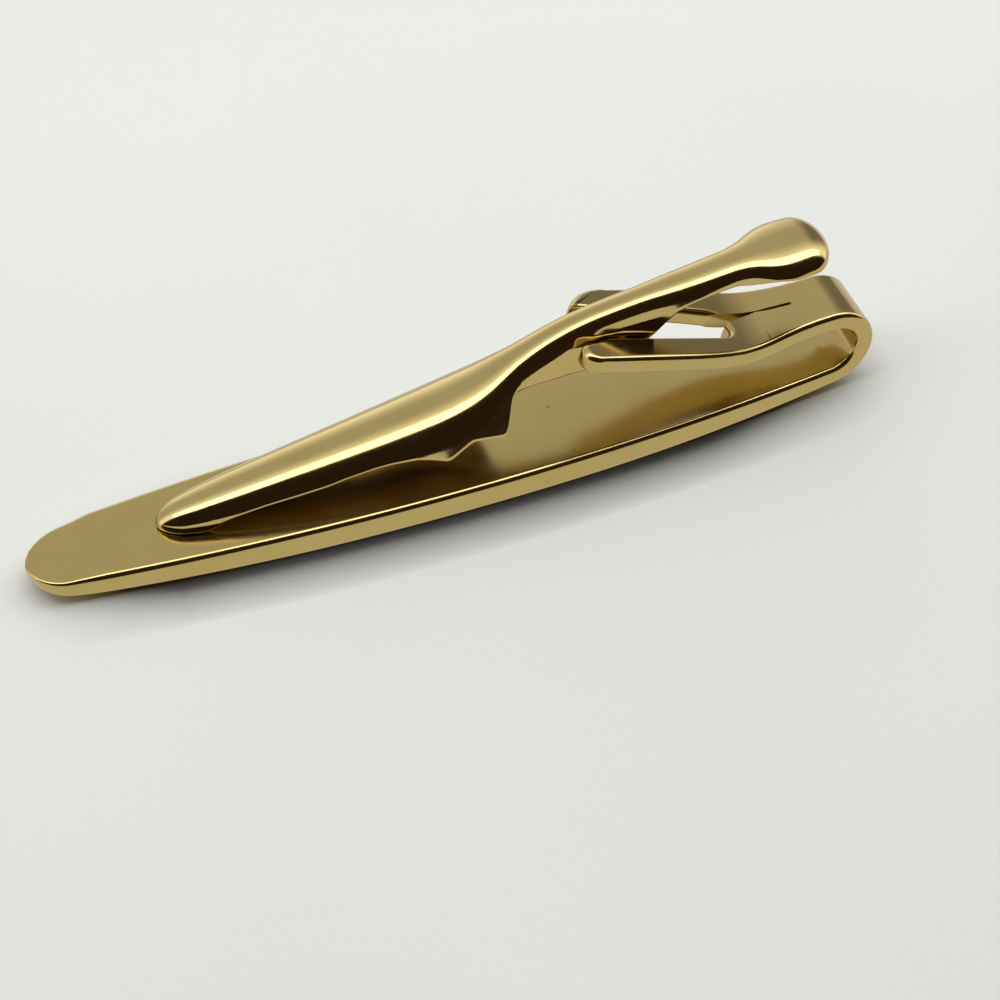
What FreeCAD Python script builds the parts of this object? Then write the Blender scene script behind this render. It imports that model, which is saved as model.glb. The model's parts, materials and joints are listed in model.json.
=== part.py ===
import FreeCAD, Part
import math
import os
import Sketcher

# Tie clip lying on its front: +X towards the fold, +Y across the bar, +Z up, away from the front face.
# The origin is under the middle of the bar, on the surface that the front face rests on.

doc = FreeCAD.newDocument("tie_clip")
sheet = doc.addObject("Spreadsheet::Sheet", "Sizes")

# Driving sizes, in millimetres and degrees
stripSizes = {
    "bar_length": 55.0,
    "bar_mid_width": 8.0,
    "bar_mid_thick": 1.74,
    "bar_end_radius": 2.55,
    "front_land": 14.0,
    "strip_thick": 1.15,
    "fold_width": 4.2,
    "fold_gap": 3.3,
}
tongueSizes = {
    "dip_angle": 2.5,
    "dip_run": 4.5,
    "dip_radius": 6.0,
    "tongue_angle": 18.0,
    "tongue_run": 11.45,
    "tongue_tip_width": 7.3,
    "tongue_flare_width": 6.4,
    "tongue_flare_reach": 9.4,
    "near_corner": 1.0,
    "far_corner": 2.8,
    "mouth_width": 3.4,
    "mouth_depth": 1.6,
    "window_width": 2.6,
    "window_reach": 11.5,
    "window_corner": 1.1,
    "slot_width": 0.3,
    "slot_length": 4.7,
}
pivotSizes = {
    "pivot_setback": 3.4,
    "pin_diameter": 0.7,
    "pin_seat": 0.4,
    "pin_play": 0.03,
    "pin_press": 0.005,
    "pin_end_play": 0.06,
}
leverSizes = {
    "lever_sheet": 0.5,
    "jaw_length": 29.75,
    "jaw_gap": 0.1,
    "jaw_bite": 3.6,
    "nose_length": 1.0,
    "tip_width": 1.6,
    "tip_height": 0.85,
    "nose_width": 2.3,
    "nose_height": 1.15,
    "jaw_bulge": 0.85,
    "root_setback": 11.05,
    "root_width": 5.6,
    "root_drop": 1.78,
    "shoulder_setback": 7.35,
    "shoulder_width": 3.4,
    "shoulder_drop": 0.25,
    "neck_setback": 4.15,
    "neck_width": 2.35,
    "neck_rise": 1.3,
    "lug_play": 0.18,
    "arm_rise": 2.3,
    "arm_length": 7.65,
    "arm_end_width": 2.9,
    "arm_end_rise": 3.4,
    "paddle_length": 6.0,
    "paddle_width": 5.2,
    "paddle_rise": 4.0,
    "paddle_end_rise": 3.0,
}
flangeSizes = {
    "heel_setback": 14.3,
    "heel_lift": 2.4,
    "ear_start": 11.7,
    "ear_lift": 1.85,
    "ear_step": 1.7,
    "ear_rise": 0.75,
    "ear_end": 7.75,
    "ear_end_lift": 1.7,
    "neck_depth": 0.95,
    "lug_half": 0.95,
    "lug_reach": 1.05,
    "lug_length": 2.6,
    "lug_rise": 1.5,
    "arm_depth": 0.45,
    "skirt_depth": 1.45,
}
cutSizes = {
    "cut_overrun": 2.0,
}

# Sizes that follow from the driving ones
derivedSizes = {
    "fold_in": "=fold_gap / 2",
    "fold_mid": "=fold_gap / 2 + strip_thick / 2",
    "fold_out": "=fold_gap / 2 + strip_thick",
    "fold_x": "=bar_length / 2 - fold_out",
    "fold_z": "=bar_mid_thick + fold_in",
    "fall_sin": "=sin(dip_angle * 1 deg)",
    "fall_cos": "=cos(dip_angle * 1 deg)",
    "rise_sin": "=sin(tongue_angle * 1 deg)",
    "rise_cos": "=cos(tongue_angle * 1 deg)",
    "dip_x": "=fold_x - fold_mid * fall_sin - dip_run * fall_cos - dip_radius * fall_sin",
    "dip_z": "=fold_z + fold_mid * fall_cos - dip_run * fall_sin + dip_radius * fall_cos",
    "dip_under": "=dip_radius + strip_thick / 2",
    "dip_top": "=dip_radius - strip_thick / 2",
    "tip_x": "=dip_x - dip_radius * rise_sin - tongue_run * rise_cos",
    "tip_z": "=dip_z - dip_radius * rise_cos + tongue_run * rise_sin",
    "pivot_x": "=tip_x + pivot_setback * rise_cos",
    "pivot_z": "=tip_z - pivot_setback * rise_sin",
    "land_half": "=front_land / 2",
    "bow_rise": "=bar_mid_thick - strip_thick",
    "fold_bow": "=((fold_x - land_half) ^ 2 + bow_rise ^ 2) / (2 * bow_rise)",
    "end_bow": "=((bar_length / 2 - land_half) ^ 2 + bow_rise ^ 2) / (2 * bow_rise)",
    "half_mid": "=bar_mid_width / 2",
    "half_fold": "=fold_width / 2",
    "end_reach": "=bar_length / 2 - bar_end_radius",
    "side_radius": "=(end_reach ^ 2 + half_mid ^ 2 - bar_end_radius ^ 2) / (bar_mid_width - 2 * bar_end_radius)",
    "side_x": "=-side_radius * end_reach / (side_radius - bar_end_radius)",
    "side_y": "=(side_radius - half_mid) * bar_end_radius / (side_radius - bar_end_radius)",
    "taper_radius": "=((bar_length / 2) ^ 2 + (half_mid - half_fold) ^ 2) / (bar_mid_width - fold_width)",
    "flare_angle": "=atan((tongue_tip_width - tongue_flare_width) / 2 / tongue_flare_reach) / 1 deg",
    "flare_sin": "=sin(flare_angle * 1 deg)",
    "flare_cos": "=cos(flare_angle * 1 deg)",
    "corner_tan": "=tan((45 + flare_angle / 2) * 1 deg)",
    "arm_width": "=window_width - 2 * lug_play",
    "window_x": "=tip_x + window_reach",
    "slot_x": "=window_x + slot_length",
}


def fillSheet():
    row = 1
    for group in (stripSizes, tongueSizes, pivotSizes, leverSizes, flangeSizes, cutSizes, derivedSizes):
        for alias, content in group.items():
            cell = "B%d" % row
            sheet.set("A%d" % row, alias)
            sheet.set(cell, str(content))
            sheet.setAlias(cell, alias)
            row += 1
    doc.recompute()


def number(expression):
    return float(sheet.evalExpression(expression))


def size(text):
    # An expression on the sheet's aliases, with the sheet's name put before each of them
    words = []
    for word in text.replace("(", " ( ").replace(")", " ) ").split():
        words.append("Sizes." + word if word[0].isalpha() else word)
    return " ".join(words)


def newBody(label):
    body = doc.addObject("PartDesign::Body", label)
    body.Label = label
    return body


def newSketch(body, name, plane, offset="0"):
    sketch = body.newObject("Sketcher::SketchObject", name)
    support = [item for item in body.Origin.OriginFeatures if item.Role == plane][0]
    sketch.AttachmentSupport = [(support, "")]
    sketch.MapMode = "FlatFace"
    sketch.setExpression("AttachmentOffset.Base.z", size(offset))
    return sketch


def bind(sketch, kind, places, expression):
    index = sketch.addConstraint(Sketcher.Constraint(kind, *places, number(expression)))
    sketch.setExpression("Constraints[%d]" % index, expression)


def addArc(sketch, start, end, radius, leftTurn):
    # The short arc between two corners, turning left or right on its way
    chord = end - start
    middle = (start + end) * 0.5
    height = math.sqrt(max(radius ** 2 - (chord.Length / 2) ** 2, 0.0))
    side = FreeCAD.Vector(-chord.y, chord.x, 0).normalize()
    centre = middle + side * (height if leftTurn else -height)
    first, last = (start, end) if leftTurn else (end, start)
    angles = [math.atan2(point.y - centre.y, point.x - centre.x) for point in (first, last)]
    if angles[1] < angles[0]:
        angles[1] += 2 * math.pi
    circle = Part.Circle(centre, FreeCAD.Vector(0, 0, 1), radius)
    return sketch.addGeometry(Part.ArcOfCircle(circle, *angles))


def addOutline(sketch, corners):
    # Each corner is (x, y) or (x, y, radius, turn): with a radius, an arc leads to the next corner
    exact = [(size(corner[0]), size(corner[1])) for corner in corners]
    points = [FreeCAD.Vector(number(x), number(y), 0) for x, y in exact]
    ends = []
    for index, corner in enumerate(corners):
        start, end = points[index], points[(index + 1) % len(points)]
        if len(corner) == 2:
            edge = sketch.addGeometry(Part.LineSegment(start, end))
            ends.append((edge, 1, 2))
        else:
            leftTurn = corner[3] == "left"
            edge = addArc(sketch, start, end, number(size(corner[2])), leftTurn)
            ends.append((edge, 1, 2) if leftTurn else (edge, 2, 1))
    for index, (edge, first, last) in enumerate(ends):
        before = ends[index - 1]
        sketch.addConstraint(Sketcher.Constraint("Coincident", before[0], before[2], edge, first))
        bind(sketch, "DistanceX", (-1, 1, edge, first), exact[index][0])
        bind(sketch, "DistanceY", (-1, 1, edge, first), exact[index][1])
        if len(corners[index]) > 2:
            bind(sketch, "Radius", (edge,), size(corners[index][2]))


def addCircle(sketch, x, y, radius):
    centre = FreeCAD.Vector(number(size(x)), number(size(y)), 0)
    circle = Part.Circle(centre, FreeCAD.Vector(0, 0, 1), number(size(radius)))
    edge = sketch.addGeometry(circle)
    bind(sketch, "DistanceX", (-1, 1, edge, 3), size(x))
    bind(sketch, "DistanceY", (-1, 1, edge, 3), size(y))
    bind(sketch, "Radius", (edge,), size(radius))


def addFrame(sketch):
    # A rectangle well outside the strip, which turns an outline into its surroundings
    x = "bar_length / 2 + cut_overrun"
    y = "bar_mid_width + tongue_tip_width"
    addOutline(sketch, [("- ( %s )" % x, "- ( %s )" % y), (x, "- ( %s )" % y), (x, y), ("- ( %s )" % x, y)])


def pad(body, sketch, name, length):
    feature = body.newObject("PartDesign::Pad", name)
    feature.Profile = sketch
    feature.SideType = "Symmetric"
    feature.setExpression("Length", size(length))
    doc.recompute()
    return feature


def pocket(body, sketch, name, upwards=False, length=None):
    before = body.Shape.Volume
    feature = body.newObject("PartDesign::Pocket", name)
    feature.Profile = sketch
    if length:
        feature.SideType = "Symmetric"
        feature.setExpression("Length", size(length))
    else:
        feature.Type = "ThroughAll"
        feature.Reversed = upwards
    doc.recompute()
    if not body.Shape.Volume < before:
        raise RuntimeError(name + " cut nothing")
    return feature


# Folded strip: the flat bar, whose bowed front rests on a short land, the fold at its right end and the tongue

def foldPoint(radius):
    return ("fold_x - %s * fall_sin" % radius, "fold_z + %s * fall_cos" % radius)


def dipPoint(radius):
    return ("dip_x + %s * fall_sin" % radius, "dip_z - %s * fall_cos" % radius)


def climbPoint(radius):
    return ("dip_x - %s * rise_sin" % radius, "dip_z - %s * rise_cos" % radius)


def tipPoint(radius):
    x, z = climbPoint(radius)
    return (x + " - tongue_run * rise_cos", z + " + tongue_run * rise_sin")


def stripSide(body):
    sketch = newSketch(body, "strip_side", "XZ_Plane")
    addOutline(sketch, [
        ("- bar_length / 2", "bow_rise"),
        ("- bar_length / 2", "bar_mid_thick"),
        ("fold_x", "bar_mid_thick", "fold_in", "left"),
        ("fold_x + fold_in", "fold_z", "fold_in", "left"),
        foldPoint("fold_in"),
        dipPoint("dip_under") + ("dip_under", "right"),
        climbPoint("dip_under"),
        tipPoint("dip_under"),
        tipPoint("dip_top"),
        climbPoint("dip_top") + ("dip_top", "left"),
        dipPoint("dip_top"),
        foldPoint("fold_out") + ("fold_out", "right"),
        ("fold_x + fold_out", "fold_z", "fold_out", "right"),
        ("fold_x", "bow_rise", "fold_bow", "right"),
        ("land_half", "0"),
        ("- land_half", "0", "end_bow", "right"),
    ])
    return sketch


def barPlan(body):
    sketch = newSketch(body, "bar_plan", "XY_Plane", "fold_z")
    addFrame(sketch)
    addOutline(sketch, [
        ("- bar_length / 2", "0", "bar_end_radius", "left"),
        ("side_x", "- side_y", "side_radius", "left"),
        ("0", "- half_mid", "taper_radius", "left"),
        ("bar_length / 2", "- half_fold"),
        ("bar_length / 2 + cut_overrun / 2", "- half_fold"),
        ("bar_length / 2 + cut_overrun / 2", "half_fold"),
        ("bar_length / 2", "half_fold", "taper_radius", "left"),
        ("0", "half_mid", "side_radius", "left"),
        ("side_x", "side_y", "bar_end_radius", "left"),
    ])
    return sketch


def tonguePlan(body):
    sketch = newSketch(body, "tongue_plan", "XY_Plane", "fold_z")
    addFrame(sketch)
    edge = "tongue_tip_width / 2 - %s * corner_tan"
    side = "tip_x + %s * corner_tan * flare_cos"
    flank = "tongue_tip_width / 2 - %s * corner_tan * flare_sin"
    addOutline(sketch, [
        ("tip_x", edge % "far_corner"),
        ("tip_x", "- ( %s )" % (edge % "near_corner"), "near_corner", "left"),
        (side % "near_corner", "- ( %s )" % (flank % "near_corner")),
        ("tip_x + tongue_flare_reach", "- tongue_flare_width / 2"),
        ("fold_x", "- half_fold"),
        ("bar_length / 2 + cut_overrun / 2", "- half_fold"),
        ("bar_length / 2 + cut_overrun / 2", "half_fold"),
        ("fold_x", "half_fold"),
        ("tip_x + tongue_flare_reach", "tongue_flare_width / 2"),
        (side % "far_corner", flank % "far_corner", "far_corner", "left"),
    ])
    return sketch


def keyhole(body):
    # The mouth between the two prongs, the window behind it and the slot that lets the prongs spring
    sketch = newSketch(body, "keyhole", "XY_Plane", "fold_z")
    addOutline(sketch, [
        ("tip_x - cut_overrun", "- mouth_width / 2"),
        ("tip_x", "- mouth_width / 2"),
        ("tip_x + mouth_depth", "- window_width / 2"),
        ("window_x - window_corner", "- window_width / 2", "window_corner", "left"),
        ("window_x", "- ( window_width / 2 - window_corner )"),
        ("window_x", "- slot_width / 2"),
        ("slot_x - slot_width / 2", "- slot_width / 2", "slot_width / 2", "left"),
        ("slot_x", "0", "slot_width / 2", "left"),
        ("slot_x - slot_width / 2", "slot_width / 2"),
        ("window_x", "slot_width / 2"),
        ("window_x", "window_width / 2 - window_corner", "window_corner", "left"),
        ("window_x - window_corner", "window_width / 2"),
        ("tip_x + mouth_depth", "window_width / 2"),
        ("tip_x", "mouth_width / 2"),
        ("tip_x - cut_overrun", "mouth_width / 2"),
    ])
    return sketch


def pivotCircle(body, name, radius):
    sketch = newSketch(body, name, "XZ_Plane")
    addCircle(sketch, "pivot_x", "pivot_z", radius)
    return sketch


def makeFrontBar():
    body = newBody("front_bar")
    pad(body, stripSide(body), "strip", "bar_mid_width + tongue_tip_width")
    pocket(body, barPlan(body), "bar_trim")
    pocket(body, tonguePlan(body), "tongue_trim", upwards=True)
    pocket(body, keyhole(body), "keyhole_cut", upwards=True)
    seats = pivotCircle(body, "pin_seats", "pin_diameter / 2 + pin_play")
    pocket(body, seats, "pin_seat_cut", length="window_width + 2 * pin_seat")
    return body


# Lever: one stamped channel, open below, with the jaw at its left and the thumb paddle at its right

# Shares along and across the jaw and the paddle, and how round the top of each section is
jawShares = (0.1, 0.26, 0.46, 0.66, 0.84)
armMidShare = 0.5
paddleShares = {"start": (0.28, 0.8, 0.85), "crest": (0.55, 1.0, 1.0), "far": (0.83, 0.8, 0.9)}
paddleEndWidthShare = 0.36
roundShare = 0.8
neckRoundShare = 0.8
armRoundShare = 0.5
paddleRoundShare = 0.45


def between(first, last, share):
    return "( %s ) + %s * ( ( %s ) - ( %s ) )" % (first, share, last, first)


def leverStations():
    # Each station is (place, width, top, roundness) from the jaw's tip to the paddle's end
    tip = "pivot_x - jaw_length"
    nose = tip + " + nose_length"
    root = "pivot_x - root_setback"
    noseTop = "bar_mid_thick + jaw_gap + nose_height"
    rootTop = "pivot_z - root_drop"
    armEnd = "pivot_x + arm_length"
    stations = [
        (tip, "tip_width", "bar_mid_thick + jaw_gap + tip_height", roundShare),
        (nose, "nose_width", noseTop, roundShare),
    ]
    for share in jawShares:
        bulge = " + %s * jaw_bulge" % (4 * share * (1 - share))
        stations.append((between(nose, root, share), between("nose_width", "root_width", share) + bulge,
                         between(noseTop, rootTop, share), roundShare))
    stations += [
        (root, "root_width", rootTop, roundShare),
        ("pivot_x - shoulder_setback", "shoulder_width", "pivot_z - shoulder_drop", roundShare),
        ("pivot_x - neck_setback", "neck_width", "pivot_z + neck_rise", neckRoundShare),
        ("pivot_x", "arm_width", "pivot_z + arm_rise", armRoundShare),
        (between("pivot_x", armEnd, armMidShare), "arm_width",
         between("pivot_z + arm_rise", "pivot_z + arm_end_rise", armMidShare), armRoundShare),
        (armEnd, "arm_end_width", "pivot_z + arm_end_rise", armRoundShare),
    ]
    for alongShare, widthShare, riseShare in paddleShares.values():
        stations.append((armEnd + " + %s * paddle_length" % alongShare, "%s * paddle_width" % widthShare,
                         between("pivot_z + arm_end_rise", "pivot_z + paddle_rise", riseShare),
                         paddleRoundShare))
    stations.append((armEnd + " + paddle_length", "%s * paddle_width" % paddleEndWidthShare,
                     "pivot_z + paddle_end_rise", paddleRoundShare))
    return stations


def channelSection(body, name, station, inset, foot):
    # A tall section with a rounded top; the flanges' lower edges are trimmed afterwards
    place, width, top, roundness = station
    half = "( ( %s ) / 2 - %s )" % (width, inset)
    rise = "%s * %s" % (roundness, half)
    crest = "%s - %s" % (top, inset)
    spring = "%s - %s" % (crest, rise)
    radius = "%s * %s" % ((1 + roundness ** 2) / (2 * roundness), half)
    sketch = newSketch(body, name, "YZ_Plane", place)
    addOutline(sketch, [
        (half, foot),
        (half, spring, radius, "left"),
        ("0", crest, radius, "left"),
        ("- " + half, spring),
        ("- " + half, foot),
    ])
    return sketch


def loft(body, kind, name, stations, inset, foot):
    sketches = []
    for index, station in enumerate(stations):
        sketches.append(channelSection(body, "%s_section_%d" % (name, index), station, inset, foot))
    doc.recompute()
    feature = body.newObject(kind, name)
    feature.Profile = sketches[0]
    feature.Sections = sketches[1:]
    doc.recompute()
    return feature


# Shares that place the bends of the flanges' lower edge
skirtStartShare = 0.3
skirtRiseShare = 0.1
lugHeelShare = 0.2
lugLeadShare = 1.4


def flangeSide(body):
    # Everything below the lower edge of the flanges, from the jaw's tip to the paddle's skirt
    sketch = newSketch(body, "flange_side", "XZ_Plane")
    face = "bar_mid_thick"
    armEnd = "pivot_x + arm_length"
    paddleEnd = armEnd + " + paddle_length"
    skirt = "pivot_z + paddle_rise - skirt_depth"
    addOutline(sketch, [
        ("pivot_x - jaw_length - cut_overrun", "- 2 * cut_overrun"),
        (paddleEnd + " + cut_overrun", "- 2 * cut_overrun"),
        (paddleEnd + " + cut_overrun", skirt),
        (armEnd + " + %s * paddle_length" % skirtStartShare, skirt),
        (armEnd + " + %s * paddle_length" % skirtRiseShare, "pivot_z + arm_end_rise - arm_depth"),
        (armEnd, "pivot_z + arm_end_rise - arm_depth"),
        ("pivot_x + lug_length + lug_rise", "pivot_z + lug_rise"),
        ("pivot_x + lug_length", "pivot_z - %s * lug_reach" % lugHeelShare),
        ("pivot_x + lug_half", "pivot_z - lug_reach"),
        ("pivot_x - lug_half", "pivot_z - lug_reach"),
        ("pivot_x - %s * lug_half" % lugLeadShare, "pivot_z + arm_rise - 2 * neck_depth"),
        ("pivot_x - neck_setback", "pivot_z + neck_rise - neck_depth"),
        ("pivot_x - shoulder_setback", "pivot_z - shoulder_drop - neck_depth"),
        ("pivot_x - ear_end", "pivot_z - root_drop - neck_depth"),
        ("pivot_x - ear_end", face + " + ear_end_lift"),
        ("pivot_x - ear_start + ear_step", face + " + ear_lift + ear_rise"),
        ("pivot_x - ear_start", face + " + ear_lift"),
        ("pivot_x - heel_setback", face + " + heel_lift"),
        ("pivot_x - jaw_length + jaw_bite", face + " + jaw_gap"),
        ("pivot_x - jaw_length - cut_overrun", face + " + jaw_gap"),
    ])
    return sketch


def makeLever():
    body = newBody("clip_lever")
    stations = leverStations()
    loft(body, "PartDesign::AdditiveLoft", "channel", stations, "0", "0")
    loft(body, "PartDesign::SubtractiveLoft", "hollow", stations[1:-1], "lever_sheet", "- cut_overrun")
    pocket(body, flangeSide(body), "flange_trim", length="bar_mid_width + tongue_tip_width")
    hole = pivotCircle(body, "pin_hole", "pin_diameter / 2 + pin_press")
    pocket(body, hole, "pin_hole_cut", length="bar_mid_width")
    return body


# Hinge pin: a short wire through the lever's lugs, with its ends in the prongs' seats

def makePin():
    pin = doc.addObject("Part::Cylinder", "hinge_pin")
    pin.Label = "hinge_pin"
    length = "window_width + 2 * ( pin_seat - pin_end_play )"
    pin.setExpression("Radius", size("pin_diameter / 2"))
    pin.setExpression("Height", size(length))
    pin.Placement.Rotation = FreeCAD.Rotation(FreeCAD.Vector(1, 0, 0), -90)
    pin.setExpression("Placement.Base.x", size("pivot_x"))
    pin.setExpression("Placement.Base.y", size("- ( %s ) / 2" % length))
    pin.setExpression("Placement.Base.z", size("pivot_z"))
    return pin


def main():
    fillSheet()
    pieces = [makeFrontBar(), makeLever(), makePin()]
    doc.recompute()
    for item in doc.Objects:
        if "Invalid" in item.State or "Error" in item.State:
            raise RuntimeError(item.Label + " failed to build")
    os.makedirs("parts", exist_ok=True)
    for piece in pieces:
        shape = piece.Shape
        if shape.isNull() or not shape.isValid() or len(shape.Solids) != 1:
            raise RuntimeError(piece.Label + " is not one valid solid")
        shape.exportStep("parts/%s.step" % piece.Label)
        box = shape.optimalBoundingBox()
        print("%s %.2f mm3, x %.2f to %.2f, y %.2f to %.2f, z %.2f to %.2f" % (
            piece.Label, shape.Volume, box.XMin, box.XMax, box.YMin, box.YMax, box.ZMin, box.ZMax))


main()
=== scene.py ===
import json
import math

import bmesh
import bpy
from mathutils import Matrix, Vector


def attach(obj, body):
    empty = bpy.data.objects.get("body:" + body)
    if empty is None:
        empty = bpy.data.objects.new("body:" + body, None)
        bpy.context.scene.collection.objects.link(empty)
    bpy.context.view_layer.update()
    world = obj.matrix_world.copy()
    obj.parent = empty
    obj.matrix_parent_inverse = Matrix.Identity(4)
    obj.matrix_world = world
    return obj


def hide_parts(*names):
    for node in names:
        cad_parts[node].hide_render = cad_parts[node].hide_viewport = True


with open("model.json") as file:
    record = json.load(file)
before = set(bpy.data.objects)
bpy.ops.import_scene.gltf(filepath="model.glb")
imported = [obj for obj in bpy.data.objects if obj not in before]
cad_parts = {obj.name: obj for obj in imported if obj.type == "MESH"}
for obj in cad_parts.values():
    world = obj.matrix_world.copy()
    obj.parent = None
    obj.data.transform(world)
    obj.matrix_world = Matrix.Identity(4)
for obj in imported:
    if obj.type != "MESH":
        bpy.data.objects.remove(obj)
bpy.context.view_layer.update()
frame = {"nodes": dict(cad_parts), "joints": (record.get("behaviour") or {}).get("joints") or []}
mm = 0.001
print("frame loaded:", sorted(frame["nodes"]))


# natural spline through stations of (place, value)
def curveThrough(stations):
    xs = [station[0] for station in stations]
    ys = [station[1] for station in stations]
    gaps = [after - before for before, after in zip(xs, xs[1:])]
    last = len(xs) - 1
    bends = [0.0] * (last + 1)
    shares = [0.0] * (last + 1)
    for i in range(1, last):
        weight = 2 * (gaps[i - 1] + gaps[i]) - gaps[i - 1] * shares[i - 1]
        shares[i] = gaps[i] / weight
        turn = 6 * ((ys[i + 1] - ys[i]) / gaps[i] - (ys[i] - ys[i - 1]) / gaps[i - 1])
        bends[i] = (turn - gaps[i - 1] * bends[i - 1]) / weight
    for i in range(last - 1, 0, -1):
        bends[i] -= shares[i] * bends[i + 1]

    def value(x):
        i = max(k for k in range(last) if xs[k] <= x or k == 0)
        b = (x - xs[i]) / gaps[i]
        a = 1 - b
        curved = ((a ** 3 - a) * bends[i] + (b ** 3 - b) * bends[i + 1]) * gaps[i] ** 2 / 6
        return a * ys[i] + b * ys[i + 1] + curved

    return value


# straight lines between stations
def straight(stations, x):
    spot = stations[0][1]
    for (x0, y0), (x1, y1) in zip(stations, stations[1:]):
        if x >= x0:
            spot = y0 + (y1 - y0) * min(1, (x - x0) / (x1 - x0))
    return spot


# the same, with the corners eased over a short window
def eased(stations, x, window):
    return sum(straight(stations, x + window * (k / 4 - 1)) for k in range(9)) / 9


def newPiece(name, mesh, body, node):
    piece = bpy.data.objects.new(name, mesh)
    bpy.context.scene.collection.objects.link(piece)
    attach(piece, body)
    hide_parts(node)
    return piece


def evenNormals(piece):
    weighted = piece.modifiers.new("even_normals", "WEIGHTED_NORMAL")
    weighted.mode = "FACE_AREA"
    weighted.weight = 90
    weighted.keep_sharp = True


# folded strip: bar, fold and sprung tongue, cut flat and then bent along its line
strip = {
    "barLength": 55.0,
    "midWidth": 8.0,
    "midThick": 1.74,
    "thick": 1.15,
    "endRadius": 2.55,
    # far corner of the bar's tip, rounder than the near one
    "farTip": [(0.0, -0.25), (0.14, 0.35), (0.42, 0.88), (0.8, 1.32), (1.25, 1.68), (1.8, 2.0),
               (2.5, 2.24), (3.3, 2.42)],
    "frontLand": 14.0,
    "foldWidth": 4.2,
    "foldGap": 3.3,
    "dipAngle": 2.5,
    "dipRun": 3.96,
    "dipRadius": 9.0,
    "tongueAngle": 18.0,
    "tongueRun": 10.91,
    # half width of the tongue from its tip to the fold
    "tongueHalf": [(6.9, 3.5), (10.0, 3.46), (13.0, 3.43), (16.0, 3.33), (17.5, 3.14), (19.0, 2.82),
                   (20.5, 2.5), (22.0, 2.24), (23.3, 2.12), (24.8, 2.1)],
    "nearCorner": 1.0,
    "farCorner": 3.3,
    "farCornerStop": 30,
    "farSetback": 0.3,
    "farSlim": 0.2,
    "sideStart": 2.4225,
    "sideStep": 0.97,
    "sideSteps": 52,
    "farTipRun": 4.0,
    "foldLead": 0.4,
    "foldSteps": 24,
    "tongueSteps": 15,
    "cornerLead": 1.1,
    "mouthHalf": 1.85,
    "farMouthHalf": 1.45,
    "mouthDepth": 2.2,
    "mouthCorner": 0.55,
    "windowHalf": 1.33,
    "windowNear": 1.45,
    "windowReach": 11.1,
    "windowCorner": 0.8,
    # far end of the window by run from that end, and its far side by reach from the tongue's tip
    "windowEndPoints": [(0.05, -0.3), (0.3, 0.4), (0.9, 0.76)],
    "windowFarPoint": (8.6, 1.02),
    "windowFullReach": 5.8,
    "mouthFarSetback": 0.4,
    # far and near side of the tapered slit, by reach from the tongue's tip
    "slitFar": [(10.2, 0.7), (13.6, 0.42), (14.5, 0.4), (15.9, 0.31)],
    "slitNear": [(10.5, -0.35), (11.2, -0.3), (12.3, 0.05), (13.6, 0.34), (14.5, 0.17), (15.9, 0.09)],
    "bladeFoot": 4.0,
    "bladeHeight": 5.0,
    "edgeRound": 0.38,
    "roundSteps": 6,
    "innerRound": 0.12,
    "tipRound": 0.12,
    # half of the run over which the soft edge changes sides at the fold
    "roundShift": 2.0,
    "endThin": 0.5,
    "endThinRun": 4.5,
    "foldCuts": 48,
    "dipCuts": 12,
    "weld": 0.002,
    "cutWeld": 0.0005,
    "sharpAngle": 35,
}
faceZ = strip["midThick"]
foldMid = (strip["foldGap"] + strip["thick"]) / 2
foldX = strip["barLength"] / 2 - foldMid - strip["thick"] / 2
fall = math.radians(strip["dipAngle"])
rise = math.radians(strip["tongueAngle"])
# run along the strip where each stretch begins
bendStarts = [foldX + strip["barLength"] / 2]
bendStarts.append(bendStarts[0] + foldMid * (math.pi + fall))
bendStarts.append(bendStarts[1] + strip["dipRun"])
bendStarts.append(bendStarts[2] + strip["dipRadius"] * (fall + rise))
bendStarts.append(bendStarts[3] + strip["tongueRun"])
stripEnd = bendStarts[-1]


# middle of the strip's thickness and the way it heads, at a run along it
def stripLine(run):
    x = run - strip["barLength"] / 2
    z = faceZ - strip["thick"] / 2
    heading = 0.0
    if run > bendStarts[0]:
        turn = (min(run, bendStarts[1]) - bendStarts[0]) / foldMid
        x = foldX + foldMid * math.sin(turn)
        z = faceZ + strip["foldGap"] / 2 - foldMid * math.cos(turn)
        heading = turn
    if run > bendStarts[1]:
        reach = min(run, bendStarts[2]) - bendStarts[1]
        x += reach * math.cos(heading)
        z += reach * math.sin(heading)
    if run > bendStarts[2]:
        turn = (min(run, bendStarts[3]) - bendStarts[2]) / strip["dipRadius"]
        centreX = x + strip["dipRadius"] * math.sin(heading)
        centreZ = z - strip["dipRadius"] * math.cos(heading)
        heading -= turn
        x = centreX - strip["dipRadius"] * math.sin(heading)
        z = centreZ + strip["dipRadius"] * math.cos(heading)
    if run > bendStarts[3]:
        reach = run - bendStarts[3]
        x += reach * math.cos(heading)
        z += reach * math.sin(heading)
    return x, z, heading


# how far the bowed front stands out under the bar, beyond the plain thickness
def frontBow(x):
    bow = strip["midThick"] - strip["thick"]
    far = foldX if x > 0 else strip["barLength"] / 2
    reach = far - strip["frontLand"] / 2
    radius = (reach ** 2 + bow ** 2) / (2 * bow)
    out = min(max(abs(x) - strip["frontLand"] / 2, 0), reach)
    return bow - radius + math.sqrt(radius ** 2 - out ** 2)


# arc points in the flat blank, from one angle to another
def arc(centreRun, centreY, radius, start, end, count):
    points = []
    for k in range(count + 1):
        angle = math.radians(start + (end - start) * k / count)
        points.append((centreRun + radius * math.cos(angle), centreY + radius * math.sin(angle)))
    return points


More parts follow.
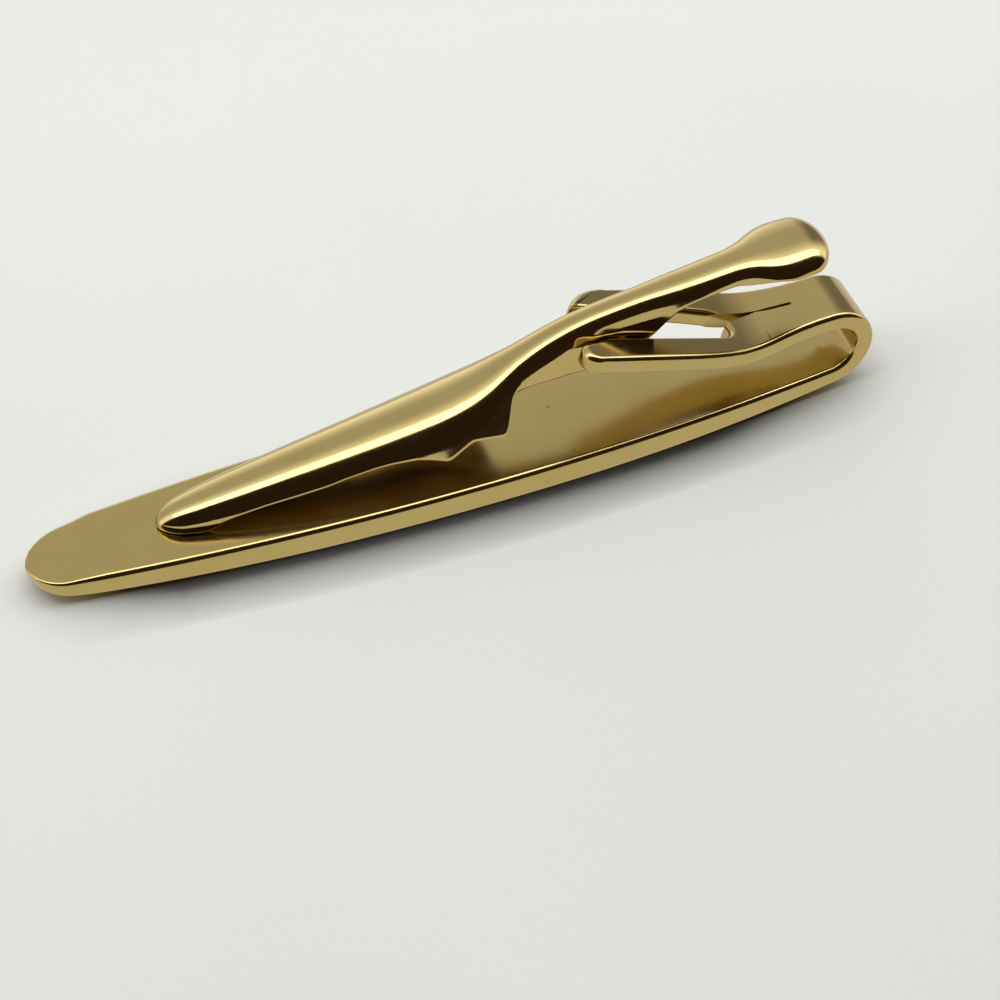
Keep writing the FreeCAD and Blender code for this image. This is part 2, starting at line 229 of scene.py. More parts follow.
# half width of the bar at a place along it
def barHalf(x):
    half = strip["midWidth"] / 2
    if x < 0:
        reach = strip["barLength"] / 2 - strip["endRadius"]
        radius = (reach ** 2 + half ** 2 - strip["endRadius"] ** 2) / (2 * (half - strip["endRadius"]))
    else:
        waist = half - strip["foldWidth"] / 2
        radius = ((strip["barLength"] / 2) ** 2 + waist ** 2) / (2 * waist)
    return half - radius + math.sqrt(radius ** 2 - x ** 2)


# outline of the flat blank, as (run along the strip, place across it)
def stripBlank():
    halfBar = strip["barLength"] / 2
    window = strip["windowHalf"]
    mouthEnd = stripEnd - strip["mouthDepth"]
    windowEnd = stripEnd - strip["windowReach"]
    corner = strip["windowCorner"]
    lip = strip["mouthCorner"]
    tongueHalf = curveThrough(strip["tongueHalf"])

    def side(sign, radius, end, stop):
        points = []
        for k in range(strip["sideSteps"]):
            run = strip["sideStart"] + k * strip["sideStep"]
            if run < foldX + halfBar - strip["foldLead"] and (sign < 0 or run > strip["farTipRun"]):
                points.append((run, sign * barHalf(run - halfBar)))
        apexHalf = barHalf(halfBar - strip["thick"] / 2)
        for k in range(strip["foldSteps"] + 1):
            share = k / strip["foldSteps"]
            run = bendStarts[0] + (bendStarts[1] - bendStarts[0]) * share
            half = barHalf(stripLine(run)[0])
            if share > 0.5:
                half = apexHalf + (strip["foldWidth"] / 2 - apexHalf) * (2 * share - 1)
            points.append((run, sign * half))
        slim = strip["farSlim"] if sign > 0 else 0
        for k in range(1, strip["tongueSteps"] + 1):
            share = k / strip["tongueSteps"]
            run = bendStarts[1] + (end - radius * strip["cornerLead"] - bendStarts[1]) * share
            points.append((run, sign * (tongueHalf(stripLine(run)[0]) - slim * share)))
        centreY = strip["tongueHalf"][0][1] - slim - radius
        points += arc(end - radius, sign * centreY, radius, sign * 90, sign * stop, 12)
        return points

    tip = arc(strip["endRadius"], 0, strip["endRadius"], 265, 192, 12) + strip["farTip"]
    farEnd = stripEnd - strip["farSetback"]
    near = side(-1, strip["nearCorner"], stripEnd, 0)
    far = side(1, strip["farCorner"], farEnd, strip["farCornerStop"])
    hole = arc(stripEnd - lip, -strip["mouthHalf"] - lip, lip, 0, 70, 5)
    hole += [(mouthEnd, -window)]
    hole += arc(windowEnd + corner, -strip["windowNear"] + corner, corner, 270, 190, 8)
    hole += [(windowEnd + run, y) for run, y in strip["windowEndPoints"]]
    reach, y = strip["windowFarPoint"]
    hole += [(stripEnd - reach, y), (stripEnd - strip["windowFullReach"], window), (mouthEnd, window)]
    hole += [(farEnd - strip["mouthFarSetback"], strip["farMouthHalf"])]
    return near + hole + far[::-1] + tip[::-1]


# thin upright blade that cuts the slit, round at its blind end
def slitBlade():
    far = [(stripLine(stripEnd - reach)[0], y) for reach, y in strip["slitFar"]]
    near = [(stripLine(stripEnd - reach)[0], y) for reach, y in strip["slitNear"]]
    blindX = (far[-1][0] + near[-1][0]) / 2
    blindY = (far[-1][1] + near[-1][1]) / 2
    end = arc(blindX, blindY, (far[-1][1] - near[-1][1]) / 2, -80, 80, 12)
    outline = near + end + far[::-1]
    mesh = bpy.data.meshes.new("slit_blade")
    work = bmesh.new()
    base = work.faces.new([work.verts.new(Vector((x, y, strip["bladeFoot"])) * mm) for x, y in outline])
    raised = bmesh.ops.extrude_face_region(work, geom=[base])["geom"]
    moved = [part for part in raised if isinstance(part, bmesh.types.BMVert)]
    bmesh.ops.translate(work, verts=moved, vec=(0, 0, strip["bladeHeight"] * mm))
    bmesh.ops.recalc_face_normals(work, faces=work.faces)
    work.to_mesh(mesh)
    work.free()
    blade = bpy.data.objects.new("slit_blade", mesh)
    bpy.context.scene.collection.objects.link(blade)
    return blade


# nearest point on a closed outline
def nearestOn(outline, run, y):
    best = None
    for (run0, y0), (run1, y1) in zip(outline, outline[1:] + outline[:1]):
        span = (run1 - run0) ** 2 + (y1 - y0) ** 2
        share = min(max(((run - run0) * (run1 - run0) + (y - y0) * (y1 - y0)) / max(span, 1e-9), 0), 1)
        spot = (run0 + (run1 - run0) * share, y0 + (y1 - y0) * share)
        far = math.hypot(run - spot[0], y - spot[1])
        if best is None or far < best[0]:
            best = (far, spot)
    return best[1]


# a piece's mesh with its modifiers applied
def settled(piece):
    bpy.context.view_layer.update()
    return bpy.data.meshes.new_from_object(piece.evaluated_get(bpy.context.evaluated_depsgraph_get()))


def buildStrip():
    outline = stripBlank()
    curve = bpy.data.curves.new("strip_blank", "CURVE")
    curve.dimensions = "2D"
    curve.fill_mode = "BOTH"
    curve.extrude = strip["thick"] / 2 - strip["edgeRound"]
    curve.bevel_depth = strip["edgeRound"]
    curve.bevel_resolution = strip["roundSteps"]
    curve.offset = -strip["edgeRound"]
    spline = curve.splines.new("POLY")
    spline.points.add(len(outline) - 1)
    for point, (run, y) in zip(spline.points, outline):
        point.co = (run, y, 0, 1)
    spline.use_cyclic_u = True
    blank = bpy.data.objects.new("strip_blank", curve)
    bpy.context.scene.collection.objects.link(blank)
    mesh = settled(blank)
    bpy.data.objects.remove(blank)

    work = bmesh.new()
    work.from_mesh(mesh)
    bmesh.ops.remove_doubles(work, verts=work.verts, dist=strip["weld"])
    soft, crisp = strip["edgeRound"], strip["innerRound"]
    folded = (bendStarts[0] + bendStarts[1]) / 2
    before, after = folded - strip["roundShift"], folded + strip["roundShift"]
    rounds = [(0, strip["tipRound"]), (strip["endThinRun"], soft), (before, soft), (after, crisp)]
    rounds += [(stripEnd, crisp)]
    underRounds = [(0, crisp), (before, crisp), (after, soft), (stripEnd, soft)]
    # edges that face up are softer than those that face down
    for vert in work.verts:
        run, y, up = vert.co
        over = strip["thick"] / 2 - abs(up)
        if over < soft + 0.001:
            share = straight(rounds if up > 0 else underRounds, run) / soft
            spotRun, spotY = nearestOn(outline, run, y)
            vert.co = (spotRun + (run - spotRun) * share, spotY + (y - spotY) * share,
                       math.copysign(strip["thick"] / 2 - over * share, up))
    for level in (-strip["thick"] / 2, strip["thick"] / 2):
        flat = [face for face in work.faces if all(abs(vert.co.z - level) < 1e-4 for vert in face.verts)]
        bmesh.ops.dissolve_faces(work, faces=flat)
    cuts = [strip["endRadius"] + k for k in range(int(bendStarts[0]) - 1)]
    for first, last, count in ((0, 1, strip["foldCuts"]), (2, 3, strip["dipCuts"])):
        bend = bendStarts[last] - bendStarts[first]
        cuts += [bendStarts[first] + bend * k / count for k in range(count + 1)]
    for run in cuts:
        geometry = work.verts[:] + work.edges[:] + work.faces[:]
        bmesh.ops.bisect_plane(work, geom=geometry, dist=strip["cutWeld"], plane_co=(run, 0, 0),
                               plane_no=(1, 0, 0))
    for vert in work.verts:
        run, y, up = vert.co
        x, z, heading = stripLine(run)
        if up < 0 and run < bendStarts[0]:
            thin = max(1 - run / strip["endThinRun"], 0)
            up *= 1 - strip["endThin"] * thin * thin / (strip["thick"] / 2)
            up -= frontBow(x)
        vert.co = Vector((x - up * math.sin(heading), y, z + up * math.cos(heading))) * mm
    bmesh.ops.recalc_face_normals(work, faces=work.faces)
    work.to_mesh(mesh)
    work.free()
    piece = newPiece("strip_body", mesh, "bar", "front_bar")
    blade = slitBlade()
    cut = piece.modifiers.new("slit", "BOOLEAN")
    cut.object = blade
    cut.solver = "EXACT"
    piece.data = settled(piece)
    piece.modifiers.clear()
    bpy.data.objects.remove(blade)
    mesh = piece.data
    mesh.shade_smooth()
    mesh.set_sharp_from_angle(angle=math.radians(strip["sharpAngle"]))
    evenNormals(piece)
    print("strip:", len(mesh.vertices), "points")
    return piece


# lever: one pressed channel, open below, lofted section by section
lever = {
    "sheet": 0.5,
    # least half width, height and roof of a section as it closes at the ends
    "leastHalf": 0.03,
    "leastTop": 0.2,
    "leastRoof": 0.15,
    "hemRound": 0.12,
    "tipX": -19.38,
    "noseLength": 1.5,
    "noseDrop": 0.75,
    "paddleEndX": 24.15,
    "paddleEndLength": 1.75,
    "paddleEndDrop": 1.1,
    "sideRows": 26,
    "step": 0.25,
    "fineStep": 0.05,
    # height of the top above the bar's inner face
    "top": [(-19.4, 1.05), (-17.5, 1.5), (-14.0, 2.19), (-10.0, 2.88), (-6.0, 3.57), (-3.0, 4.13),
            (0.0, 4.85), (1.5, 5.42), (3.0, 6.2), (4.5, 6.98), (6.0, 7.66), (8.0, 8.3), (10.0, 8.68),
            (12.0, 8.98), (14.0, 9.25), (16.0, 9.53), (17.0, 9.69), (18.0, 9.85), (19.0, 10.02),
            (20.0, 10.16), (21.0, 10.29), (22.0, 10.39), (23.0, 10.43), (24.2, 10.43)],
    "half": [(-19.4, 0.95), (-18.4, 1.17), (-17.5, 1.4), (-16.0, 1.68), (-14.0, 1.94), (-12.0, 2.13),
             (-8.0, 2.47), (-4.0, 2.76), (-2.0, 2.84), (-0.5, 2.8), (1.0, 2.52), (2.4, 1.98), (3.6, 1.5),
             (5.0, 1.24), (6.6, 1.16), (8.5, 1.13), (10.3, 1.14), (12.0, 1.2), (13.4, 1.34), (15.0, 1.46),
             (17.0, 1.5), (18.0, 1.54), (19.0, 1.82), (20.0, 2.34), (20.6, 2.55), (21.2, 2.63),
             (22.0, 2.57), (23.0, 2.5), (24.1, 2.4)],
    # depth of the rounded top as a share of the half width
    "crown": [(-19.4, 0.76), (3.0, 0.76), (10.0, 0.76), (15.0, 0.72), (17.0, 0.66), (18.5, 0.59),
              (20.0, 0.5), (21.3, 0.475), (24.1, 0.47)],
    # how square the shoulders are: 1 is an ellipse, less is squarer
    "shoulder": [(-19.4, 0.95), (-10.0, 0.95), (6.0, 0.95), (16.0, 0.95), (24.1, 0.95)],
    # outward lean of the flanges below the rounded top, in degrees
    "lean": [(-19.4, 0), (-18.0, 6), (-16.0, 8), (-14.0, 0), (-6.0, 0), (-4.0, 20), (-1.0, 25), (1.0, 26),
             (8.2, 26), (9.2, 14), (12.6, 14), (14.0, 24), (18.5, 24), (20.0, 5), (24.1, 0)],
    # height where the lean ends and the flanges hang straight
    "kink": [(-19.4, 0), (2.9, 0), (2.95, 4.85), (3.4, 5.3), (3.8, 5.55), (4.6, 5.94), (5.4, 6.29),
             (6.2, 6.64), (7.0, 7.02), (8.4, 7.2), (10.0, 7.5), (12.0, 7.85), (13.85, 8.2), (14.7, 8.42),
             (15.7, 8.66), (16.7, 8.95), (17.7, 9.29), (18.6, 9.6), (19.2, 9.46), (19.7, 9.28),
             (20.3, 9.1), (20.4, 0), (24.1, 0)],
    # lower edge of the flanges above the bar's inner face
    "hem": [(-19.4, 0.12), (-16.5, 0.15), (-15.7, 0.6), (-15.0, 0.85), (-14.0, 1.08), (-13.0, 1.26),
            (-12.0, 1.4), (-11.0, 1.53), (-10.0, 1.67), (-9.0, 1.82), (-8.0, 2.05), (-7.0, 2.22),
            (-6.0, 2.39), (-5.0, 2.48), (-3.5, 2.5), (-2.5, 2.3), (-1.6, 2.05), (0.0, 2.92), (1.0, 2.83),
            (2.05, 2.68), (2.25, 2.75), (2.6, 3.75), (2.95, 4.85), (3.3, 4.95), (4.6, 4.92), (7.0, 4.9),
            (8.4, 4.95), (9.7, 5.2), (11.0, 5.5), (11.8, 5.9), (12.5, 6.5), (13.1, 7.2), (13.8, 7.9),
            (14.7, 8.25), (15.7, 8.45), (16.7, 8.6), (17.7, 8.72), (18.6, 8.65), (19.2, 8.8), (19.7, 9.0),
            (20.2, 9.1), (20.9, 9.1), (24.1, 9.1)],
    "hemEase": 0.2,
    "fineSpans": [(-16.2, -14.8), (1.8, 3.6), (8.2, 9.8), (12.3, 14.1), (18.2, 20.6)],
}
leverTop = curveThrough(lever["top"])
leverHalf = curveThrough(lever["half"])
leverCrown = curveThrough(lever["crown"])
leverShoulder = curveThrough(lever["shoulder"])


# places along the lever where a section is taken, closer at its ends and bends
def leverPlaces():
    noseX = lever["tipX"] + lever["noseLength"]
    endX = lever["paddleEndX"] - lever["paddleEndLength"]
    places = [noseX - lever["noseLength"] * math.cos(math.radians(4 + 86 * k / 16)) for k in range(16)]
    x = noseX
    while x < endX:
        places.append(x)
        fine = any(low < x < high for low, high in lever["fineSpans"])
        x += lever["fineStep"] if fine else lever["step"]
    places += [endX + lever["paddleEndLength"] * math.sin(math.radians(86 * k / 20)) for k in range(21)]
    return places


# one side of a section from the crest to the hem, evenly spaced
def sectionSide(half, top, depth, square, lean, kink, hem, rows):
    path = [(0.0, top)]
    for k in range(1, 49):
        angle = math.pi / 2 * k / 48
        y = half * math.sin(angle) ** square
        z = top - depth * (1 - math.cos(angle) ** square)
        if math.atan2(y - path[-1][0], path[-1][1] - z) < lean:
            break
        path.append((y, z))
    y, z = path[-1]
    fall = max(z - max(kink, hem - 1), 0)
    path.append((y + fall * math.tan(lean), z - fall))
    path.append((path[-1][0], hem - 2))
    cut = [path[0]]
    for (y0, z0), (y1, z1) in zip(path, path[1:]):
        if z1 > hem:
            cut.append((y1, z1))
            continue
        share = (z0 - hem) / (z0 - z1)
        cut.append((y0 + (y1 - y0) * share, hem))
        break
    lengths = [0]
    for (y0, z0), (y1, z1) in zip(cut, cut[1:]):
        lengths.append(lengths[-1] + math.hypot(y1 - y0, z1 - z0))
    points = []
    for k in range(rows):
        goal = lengths[-1] * k / (rows - 1)
        i = max(j for j in range(len(lengths) - 1) if lengths[j] <= goal or j == 0)
        share = (goal - lengths[i]) / max(lengths[i + 1] - lengths[i], 1e-9)
        points.append((cut[i][0] + (cut[i + 1][0] - cut[i][0]) * share,
                       cut[i][1] + (cut[i + 1][1] - cut[i][1]) * share))
    return points


def leverSection(x):
    half = leverHalf(x)
    top = leverTop(x)
    hem = eased(lever["hem"], x, lever["hemEase"])
    noseX = lever["tipX"] + lever["noseLength"]
    endX = lever["paddleEndX"] - lever["paddleEndLength"]
    closing = 1.0
    drop = 0.0
    if x < noseX:
        closing = math.sqrt(max(1 - ((noseX - x) / lever["noseLength"]) ** 2, 0))
        drop = lever["noseDrop"]
    if x > endX:
        closing = math.sqrt(max(1 - ((x - endX) / lever["paddleEndLength"]) ** 2, 0))
        drop = lever["paddleEndDrop"]
    half = max(half * closing, lever["leastHalf"])
    top = max(top - drop * (1 - closing), hem + lever["leastTop"])
    square = leverShoulder(x)
    lean = math.radians(straight(lever["lean"], x))
    kink = straight(lever["kink"], x)
    depth = leverCrown(x) * half
    rows = lever["sideRows"]
    soft = lever["hemRound"]
    outer = sectionSide(half, top, depth, square, lean, kink, hem + soft, rows)
    wall = min(lever["sheet"], half * 0.8)
    roof = max(top - wall, hem + lever["leastRoof"])
    innerHalf = half - wall
    innerHem = min(hem + soft, roof - 0.02)
    inner = sectionSide(innerHalf, roof, leverCrown(x) * innerHalf, square, lean, kink, innerHem, rows)
    (outY, outZ), (inY, inZ) = outer[-1], inner[-1]
    corner = min(soft, (outY - inY) / 2)
    rim = []
    # rounded outer corner, flat, rounded inner corner
    for k in range(1, 4):
        angle = math.pi / 2 * k / 3
        rim.append((outY - corner * (1 - math.cos(angle)), outZ - soft * math.sin(angle)))
    for k in range(0, 3):
        angle = math.pi / 2 * k / 3
        rim.append((inY + corner * (1 - math.sin(angle)), hem + (inZ - hem) * (1 - math.cos(angle))))
    right = outer + rim + inner[::-1]
    loop = right + [(-y, z) for y, z in right[::-1][1:-1]]
    return [Vector((x, y, z + faceZ)) * mm for y, z in loop]


def buildLever():
    mesh = bpy.data.meshes.new("lever_body")
    work = bmesh.new()
    rings = [[work.verts.new(point) for point in leverSection(x)] for x in leverPlaces()]
    # faces inside the channel take the second finish, dark with painted shade
    inside = range(lever["sideRows"] + 5, lever["sideRows"] * 3 + 5)
    for first, second in zip(rings, rings[1:]):
        for k in range(len(first)):
            after = (k + 1) % len(first)
            face = work.faces.new((first[k], first[after], second[after], second[k]))
            face.material_index = int(k in inside)
    work.faces.new(rings[0])
    work.faces.new(rings[-1][::-1])
    bmesh.ops.recalc_face_normals(work, faces=work.faces)
    for face in work.faces:
        face.smooth = True
    work.to_mesh(mesh)
    work.free()
    piece = newPiece("lever_body", mesh, "lever", "clip_lever")
    print("lever:", len(mesh.vertices), "points")
    return piece


# hinge pin: a short wire with rounded ends
pin = {"radius": 0.35, "length": 3.28, "endRound": 0.1, "sides": 32}


def buildPin():
    centre = Vector(frame["joints"][0]["pos_m"])
    half = pin["length"] / 2
    profile = [(0.0, -half)]
    for k in range(5):
        angle = math.pi / 2 * k / 4
        profile.append((pin["radius"] - pin["endRound"] * (1 - math.sin(angle)),
                        -half + pin["endRound"] * (1 - math.cos(angle))))
    profile += [(radius, -y) for radius, y in reversed(profile)]
    mesh = bpy.data.meshes.new("pin_body")
    work = bmesh.new()
    line = [work.verts.new(centre + Vector((radius, y, 0)) * mm) for radius, y in profile]
    edges = [work.edges.new(pair) for pair in zip(line, line[1:])]
    bmesh.ops.spin(work, geom=line + edges, cent=centre, axis=(0, 1, 0), angle=2 * math.pi,
                   steps=pin["sides"], use_merge=True)
    bmesh.ops.remove_doubles(work, verts=work.verts, dist=1e-7)
    bmesh.ops.recalc_face_normals(work, faces=work.faces)
    for face in work.faces:
        face.smooth = True
    work.to_mesh(mesh)
    work.free()
    piece = newPiece("pin_body", mesh, "lever", "hinge_pin")
    evenNormals(piece)
    print("pin:", len(mesh.vertices), "points")
    return piece


# a shader socket: signs between values add Math nodes, and node() adds any other node
class Shade:
    def __init__(self, tree, socket=None):
        self.tree = tree
        self.socket = socket

    def node(self, kind, settings, inputs, output=0):
        made = self.tree.nodes.new(kind)
        for key, setting in settings.items():
            if key == "stops":
                stops = made.color_ramp.elements
                while len(stops) < len(setting):
                    stops.new(0.5)
                for stop, (place, colour) in zip(stops, setting):
                    stop.position = place
                    stop.color = colour
            else:
                setattr(made, key, setting)
        for key, value in inputs.items():
            if isinstance(value, Shade):
                self.tree.links.new(value.socket, made.inputs[key])
            else:
                made.inputs[key].default_value = value
        return Shade(self.tree, made.outputs[output]) if len(made.outputs) else made

    def maths(self, operation, first, second):
        return self.node("ShaderNodeMath", {"operation": operation}, {0: first, 1: second})

    def __add__(self, other):
        return self.maths("ADD", self, other)

    def __radd__(self, other):
        return self.maths("ADD", other, self)

    def __sub__(self, other):
        return self.maths("SUBTRACT", self, other)

    def __rsub__(self, other):
        return self.maths("SUBTRACT", other, self)

    def __mul__(self, other):
        return self.maths("MULTIPLY", self, other)

    def __rmul__(self, other):
        return self.maths("MULTIPLY", other, self)


def emptyNodes(owner):
    owner.use_nodes = True
    owner.node_tree.nodes.clear()
    return Shade(owner.node_tree)


# polished gold plate: soft mottling, faint drawn scratches and a few dark pits
grain = {
    "mottleScale": 260.0,
    "fineScale": 2400.0,
    "drawnScale": (90.0, 2600.0, 2600.0),
    "worn": [(0.42, (0, 0, 0, 1)), (0.62, (1, 1, 1, 1))],
    "wornShare": 0.35,
    # part in the roughness and in the height of the mottling, the fine grain and the scratches
    "roughParts": (0.12, 0.06, 0.08),
    "heightParts": (0.25, 0.02),
    "bumpStrength": 0.12,
    "bumpDistance": 0.00006,
    "pitScale": 620.0,
    "pitStops": [(0.03, (1, 1, 1, 1)), (0.075, (0, 0, 0, 1))],
    "pitColour": (0.09, 0.06, 0.02, 1),
    # stretch of the strip that has pits, by place along it times 30 plus a half
    "pitSpan": [(0.48, (0, 0, 0, 1)), (0.56, (1, 1, 1, 1)), (0.8, (1, 1, 1, 1)), (0.86, (0, 0, 0, 1))],
    "pitSpanScale": 30,
}
gold = {
    "strip": {"colour": (0.525, 0.395, 0.145), "dull": (0.48, 0.34, 0.105), "rough": 0.18, "scratch": 0.04,
              "pits": 1.0},
    "lever": {"colour": (0.535, 0.405, 0.155), "dull": (0.49, 0.35, 0.115), "rough": 0.1, "scratch": 0.03,
              "pits": 0.0},
    # inside of the channel: dark, rough gold, painted shade for the dark under the lever
    "lever_inside_painted_shade": {"colour": (0.20, 0.12, 0.03), "dull": (0.14, 0.08, 0.02), "rough": 0.4, "scratch": 0.1,
                     "pits": 0.0},
    "pin": {"colour": (0.46, 0.36, 0.15), "dull": (0.36, 0.26, 0.1), "rough": 0.25, "scratch": 0.08,
            "pits": 0.0},
}


def goldFinish(name):
    look = gold[name]
    metal = bpy.data.materials.new(name + "_gold")
    finish = emptyNodes(metal)
    place = finish.node("ShaderNodeTexCoord", {}, {}, "Object")
    mottle = finish.node("ShaderNodeTexNoise", {},
                         {"Vector": place, "Scale": grain["mottleScale"], "Detail": 4.0})
    fine = finish.node("ShaderNodeTexNoise", {},
                       {"Vector": place, "Scale": grain["fineScale"], "Detail": 3.0})
    drawn = finish.node("ShaderNodeMapping", {}, {"Vector": place, "Scale": grain["drawnScale"]})
    scratch = finish.node("ShaderNodeTexNoise", {}, {"Vector": drawn, "Scale": 1.0, "Detail": 5.0})
    worn = finish.node("ShaderNodeValToRGB", {"stops": grain["worn"]}, {"Fac": mottle})
    colours = {"Factor": worn * grain["wornShare"], 6: look["colour"] + (1,), 7: look["dull"] + (1,)}
    tint = finish.node("ShaderNodeMix", {"data_type": "RGBA"}, colours, 2)
    rough = look["rough"]
    for noise, part in zip((mottle, fine, scratch), grain["roughParts"]):
        rough = rough + (noise - 0.5) * part
    height = scratch * look["scratch"]
    for noise, part in zip((mottle, fine), grain["heightParts"]):
        height = height + noise * part
    if look["pits"]:
        cells = finish.node("ShaderNodeTexVoronoi", {}, {"Vector": place, "Scale": grain["pitScale"]})
        along = finish.node("ShaderNodeSeparateXYZ", {}, {"Vector": place}, "X")
        pit = finish.node("ShaderNodeValToRGB", {"stops": grain["pitStops"]}, {"Fac": cells})
        some = finish.node("ShaderNodeValToRGB", {"stops": grain["pitSpan"]},
                           {"Fac": along * grain["pitSpanScale"] + 0.5})
        spots = pit * some
        tint = finish.node("ShaderNodeMix", {"data_type": "RGBA"},
                           {"Factor": spots * 0.8, 6: tint, 7: grain["pitColour"]}, 2)
        rough = rough + spots * 0.3
        height = height - spots * 0.2
    relief = {"Strength": grain["bumpStrength"], "Distance": grain["bumpDistance"], "Height": height}
    bump = finish.node("ShaderNodeBump", {}, relief)
    shader = finish.node("ShaderNodeBsdfPrincipled", {},
                         {"Base Color": tint, "Metallic": 1.0, "Roughness": rough, "Normal": bump})
    finish.node("ShaderNodeOutputMaterial", {}, {"Surface": shader})
    print("finish:", name)
    return metal


# pale table, softly uneven like coated board, with painted shade that darkens it towards the camera's side
table = {
    "size": 1.2,
    "gap": 0.00001,
    "colour": (0.91, 0.90, 0.79),
    "shade": (0.66, 0.655, 0.56),
    "cloudScale": 30.0,
    "grainScale": 1800.0,
    # painted shade: how fast the table darkens towards the camera's side
    "paintedShadeAcross": 6,
    # even pale look that the metal mirrors
    "mirrored": (0.80, 0.80, 0.77),
    # painted contact shadow, an occlusion darkening in the table's colour: how far it reaches, the way it
    # leans, its depth and its colour
    "shadeReach": 0.0036,
    "shadeWay": (0.35, 0.5, 0.79),
    "shadeDepth": 2.0,
    "shadeColour": (0.03, 0.025, 0.02, 1),
    # share of that painted shadow along the bar, less under its raised ends
    "shadeAlong": [(-0.0285, 0.1), (-0.025, 0.3), (-0.019, 1.0), (0.016, 1.0), (0.022, 0.6), (0.028, 0.2)],
    "shadeAlongScale": 15,
}


def buildTable():
    half = table["size"] / 2
    mesh = bpy.data.meshes.new("table_top")
    corners = [(-half, -half), (half, -half), (half, half), (-half, half)]
    mesh.from_pydata([(x, y, -table["gap"]) for x, y in corners], [], [(0, 1, 2, 3)])
    top = bpy.data.objects.new("table_top", mesh)
    bpy.context.scene.collection.objects.link(top)
    board = bpy.data.materials.new("table_board")
    finish = emptyNodes(board)
    place = finish.node("ShaderNodeTexCoord", {}, {}, "Object")
    cloud = finish.node("ShaderNodeTexNoise", {},
                        {"Vector": place, "Scale": table["cloudScale"], "Detail": 3.0})
    fibre = finish.node("ShaderNodeTexNoise", {},
                        {"Vector": place, "Scale": table["grainScale"], "Detail": 3.0})
    across = finish.node("ShaderNodeSeparateXYZ", {}, {"Vector": place}, "Y")
    # random cloud and grain, plus painted shade that darkens the table towards the camera's side
    unevenAndShade = cloud * 0.2 + fibre * 0.1 + 0.1 - across * table["paintedShadeAcross"]
    tint = finish.node("ShaderNodeMix", {"data_type": "RGBA"},
                       {"Factor": unevenAndShade, 6: table["colour"] + (1,), 7: table["shade"] + (1,)}, 2)
    way = finish.node("ShaderNodeCombineXYZ", {}, dict(enumerate(table["shadeWay"])))
    clear = finish.node("ShaderNodeAmbientOcclusion", {},
                        {"Distance": table["shadeReach"], "Normal": way}, "AO")
    along = finish.node("ShaderNodeSeparateXYZ", {}, {"Vector": place}, "X")
    scale = table["shadeAlongScale"]
    stops = [(x * scale + 0.5, (share,) * 3 + (1,)) for x, share in table["shadeAlong"]]
    ends = finish.node("ShaderNodeValToRGB", {"stops": stops}, {"Fac": along * scale + 0.5})
    # painted contact shadow: the table's colour is darkened near the part by the leaning occlusion
    paintedShadow = table["shadeDepth"] * (1 - clear) * ends
    tint = finish.node("ShaderNodeMix", {"data_type": "RGBA"},
                       {"Factor": paintedShadow, 6: tint, 7: table["shadeColour"]}, 2)
    bump = finish.node("ShaderNodeBump", {}, {"Strength": 0.1, "Distance": 0.0001, "Height": fibre})
    shader = finish.node("ShaderNodeBsdfPrincipled", {},
                         {"Base Color": tint, "Roughness": 0.7, "Normal": bump})
    mirrored = finish.node("ShaderNodeLightPath", {}, {}, "Is Glossy Ray")
    pale = finish.node("ShaderNodeEmission", {}, {"Color": table["mirrored"] + (1,), "Strength": 1.0})
    surface = finish.node("ShaderNodeMixShader", {}, {0: mirrored, 1: shader, 2: pale})
    finish.node("ShaderNodeOutputMaterial", {}, {"Surface": surface})
    mesh.materials.append(board)
    print("table ready")


# studio: a long soft box overhead in a pale room that is dark on the camera's side
studio = {
    "dark": (0.03, 0.019, 0.014),
    "pale": (0.965, 1.0, 1.09),
    "brightest": 2.0,
    # brightness of the room by how far back a direction points, from -1 at the camera's side to 1
    "levels": [(-1.0, 0.0), (-0.14, 0.0), (-0.09, 1.2), (0.03, 1.8), (0.15, 1.7), (0.26, 1.4),
               (0.38, 0.98), (0.5, 0.69), (0.6, 0.66), (0.79, 0.67), (0.91, 1.0), (0.98, 1.5)],
    # part of that brightness lost towards the right, and how far back the loss begins
    "loss": [(-1.0, 0.0), (0.4, 0.0), (0.64, 0.62), (1.0, 0.62)],
    "lossBack": [(-1.0, 0.0), (0.3, 0.0), (0.5, 1.0), (1.0, 1.0)],
    "box": {"place": (0.075, 0.014, 0.42), "wide": 0.85, "deep": 0.132, "power": 0.8},
}


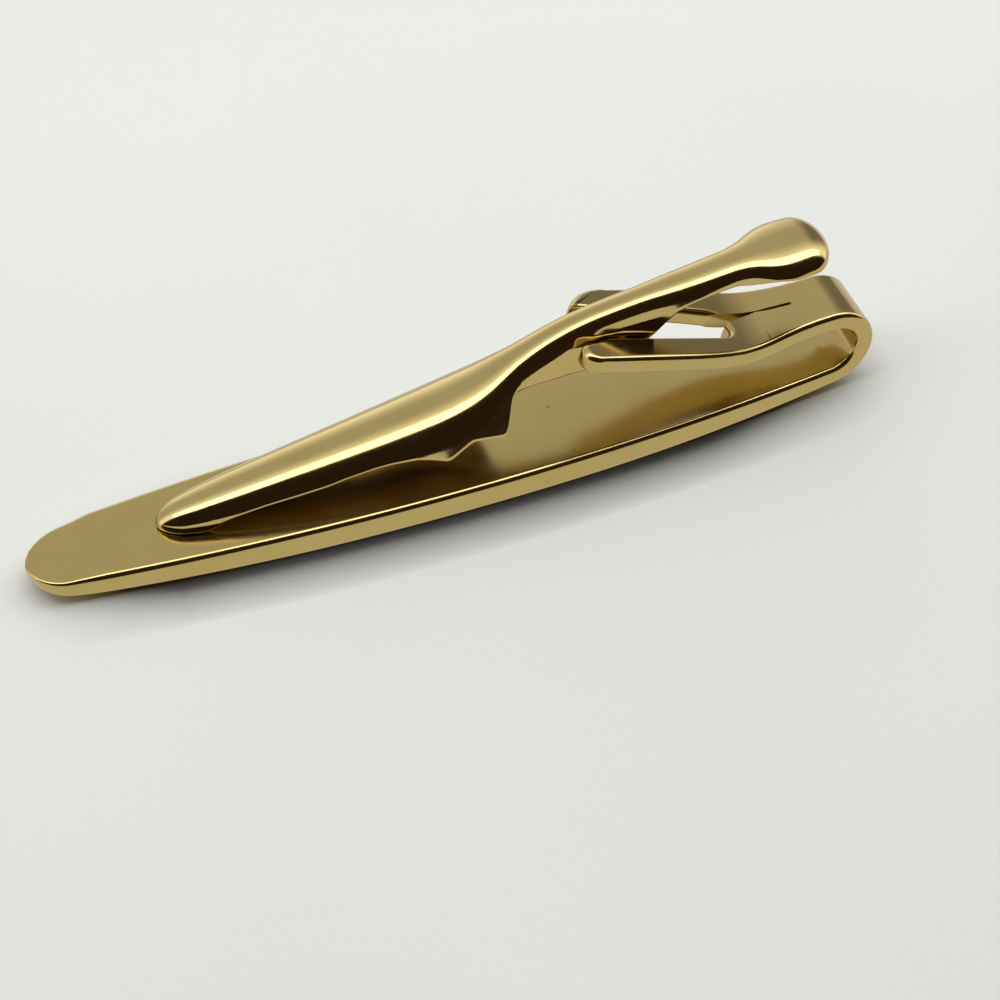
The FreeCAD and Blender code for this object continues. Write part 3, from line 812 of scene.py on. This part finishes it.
def buildStudio():
    room = bpy.data.worlds.new("room")
    bpy.context.scene.world = room
    air = emptyNodes(room)
    way = air.node("ShaderNodeTexCoord", {}, {}, "Generated")

    def levels(stations, top, axis):
        reach = air.node("ShaderNodeSeparateXYZ", {}, {"Vector": way}, axis)
        stops = [((place + 1) / 2, (level / top,) * 3 + (1,)) for place, level in stations]
        return air.node("ShaderNodeValToRGB", {"stops": stops}, {"Fac": reach * 0.5 + 0.5})

    loss = levels(studio["loss"], 1.0, "X") * levels(studio["lossBack"], 1.0, "Y")
    level = levels(studio["levels"], studio["brightest"], "Y") * (1 - loss)
    bright = [part * studio["brightest"] for part in studio["pale"]]
    tint = air.node("ShaderNodeMix", {"data_type": "RGBA"},
                    {"Factor": level, 6: studio["dark"] + (1,), 7: bright + [1]}, 2)
    glow = air.node("ShaderNodeBackground", {}, {"Color": tint, "Strength": 1.0})
    air.node("ShaderNodeOutputWorld", {}, {"Surface": glow})
    box = studio["box"]
    lamp = bpy.data.lights.new("soft_box", "AREA")
    lamp.shape = "RECTANGLE"
    lamp.size = box["wide"]
    lamp.size_y = box["deep"]
    lamp.energy = box["power"]
    lamp.color = studio["pale"]
    holder = bpy.data.objects.new("soft_box", lamp)
    holder.location = box["place"]
    bpy.context.scene.collection.objects.link(holder)
    print("studio ready")


# camera, fitted to the bar's flat face in the photograph
view = {
    "azimuth": -19.98,
    "elevation": 48.43,
    "roll": 0.56,
    "distance": 134.17,
    "target": (0.803, -5.28, 1.74),
    "lens": 79.2,
    "sensor": 36,
    "nearest": 0.005,
}


def buildCamera():
    a, e, roll = (math.radians(view[key]) for key in ("azimuth", "elevation", "roll"))
    back = Vector((math.sin(a) * math.cos(e), -math.cos(a) * math.cos(e), math.sin(e)))
    right = Vector((math.cos(a), math.sin(a), 0))
    up = back.cross(right)
    tiltedRight = right * math.cos(roll) - up * math.sin(roll)
    tiltedUp = right * math.sin(roll) + up * math.cos(roll)
    camera = bpy.data.objects.new("camera", bpy.data.cameras.new("camera"))
    camera.data.sensor_width = view["sensor"]
    camera.data.lens = view["lens"]
    camera.data.clip_start = view["nearest"]
    place = (Vector(view["target"]) + back * view["distance"]) * mm
    turned = Matrix((tiltedRight, tiltedUp, back)).transposed().to_4x4()
    camera.matrix_world = Matrix.Translation(place) @ turned
    bpy.context.scene.collection.objects.link(camera)
    bpy.context.scene.camera = camera
    print("camera ready")


buildStrip().data.materials.append(goldFinish("strip"))
leverPiece = buildLever()
for finishName in ("lever", "lever_inside_painted_shade"):
    leverPiece.data.materials.append(goldFinish(finishName))
buildPin().data.materials.append(goldFinish("pin"))
buildTable()
buildStudio()
buildCamera()
bpy.context.scene.view_settings.view_transform = "Standard"
